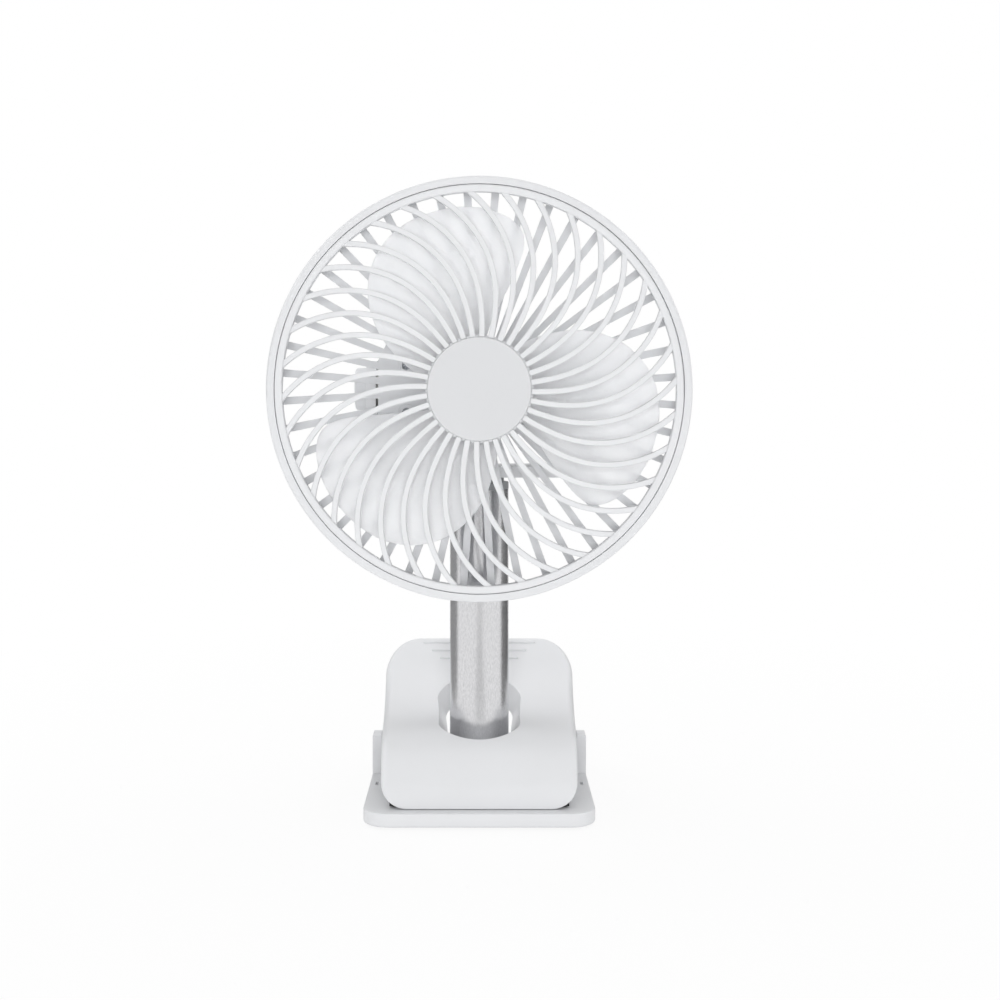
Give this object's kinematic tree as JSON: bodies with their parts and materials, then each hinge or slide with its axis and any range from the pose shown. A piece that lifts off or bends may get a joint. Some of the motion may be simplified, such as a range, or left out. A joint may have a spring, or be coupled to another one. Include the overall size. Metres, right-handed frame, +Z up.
{
  "type": "clip fan",
  "caption": "Small desk fan with a round swirl grille on an aluminium pole, tilting in a yoke, on a spring-loaded clip base that also stands on a table.",
  "frame": {"origin": "on the table plane, below the middle of the pole, at the underside of the rubber mat", "axes": "+Z up along the pole, -Y towards the front of the fan, +X to the right seen from the front"},
  "size_m": [0.1712, 0.107, 0.2596],
  "materials": {
    "white_abs": "satin",
    "black_rubber": "matte",
    "grey_rubber": "matte",
    "pole_aluminium": "bead blasted",
    "milky_blade": "satin",
    "steel": "plated",
    "spring_steel": "drawn",
    "inner_abs": "matte",
    "cell_wrap": "shrink film",
    "nickel": "nickel plated",
    "bronze": "sintered",
    "ferrite": "matte",
    "circuit_board": "solder mask",
    "switch_black": "matte",
    "acetal": "matte",
    "light_pipe": "diffusing",
    "button_abs": "satin"
  },
  "bodies": {
    "base": {"base_plate": "white_abs", "base_cover": "inner_abs", "base_mat": "grey_rubber", "base_screws": "steel", "plate_grip_pad": "black_rubber", "pole_tube": "pole_aluminium", "pole_foot_plug": "inner_abs", "pole_screws": "steel", "pole_top_plug": "white_abs", "battery_sleeve": "inner_abs", "battery_cell": "cell_wrap", "battery_contacts": "nickel", "hinge_pin": "steel", "hinge_spring_left": "spring_steel", "hinge_spring_right": "spring_steel", "swivel_washer": "steel", "swivel_screw": "steel"},
    "lever": {"clamp_lever": "white_abs", "lever_grip_pad": "black_rubber"},
    "yoke": {"yoke": "white_abs", "pivot_cap_left": "white_abs", "pivot_cap_right": "white_abs", "friction_washers": "acetal"},
    "head": {"rear_grille": "white_abs", "rear_cover": "white_abs", "housing_screws": "steel", "pivot_screws": "steel", "control_board": "circuit_board", "board_screws": "steel", "tact_switch": "switch_black", "usb_socket": "nickel", "status_light": "light_pipe", "motor_can": "steel", "motor_end_cap": "inner_abs", "motor_magnets": "ferrite", "motor_bush_front": "bronze", "motor_bush_rear": "bronze", "front_grille": "white_abs", "front_cap": "white_abs"},
    "fan": {"impeller": "milky_blade", "motor_shaft": "steel", "motor_rotor": "steel"},
    "button": {"power_button": "button_abs"}
  },
  "joints": [
    {"name": "lever_open", "type": "hinge", "parent": "base", "child": "lever", "pos_m": [0, 0.0185, 0.0175], "axis": [-1, 0, 0], "range_deg": [0, 25], "stiffness_Nm_per_rad": 0.6, "springref_deg": -28.65, "deforming": ["hinge_spring_left", "hinge_spring_right"]},
    {"name": "yoke_swivel", "type": "hinge", "parent": "base", "child": "yoke", "pos_m": [0, 0, 0.1393], "axis": [0, 0, 1], "range_deg": [-175, 175]},
    {"name": "head_tilt", "type": "hinge", "parent": "yoke", "child": "head", "pos_m": [0, 0, 0.174], "axis": [-1, 0, 0], "range_deg": [0, 90]},
    {"name": "fan_spin", "type": "hinge", "parent": "head", "child": "fan", "pos_m": [0, 0, 0.174], "axis": [0, -1, 0], "continuous": true},
    {"name": "button_press", "type": "slide", "parent": "head", "child": "button", "axis": [0, -1, 0], "range_m": [0, 0.0008], "stiffness_N_per_m": 400, "springref_m": -0.001}
  ]
}
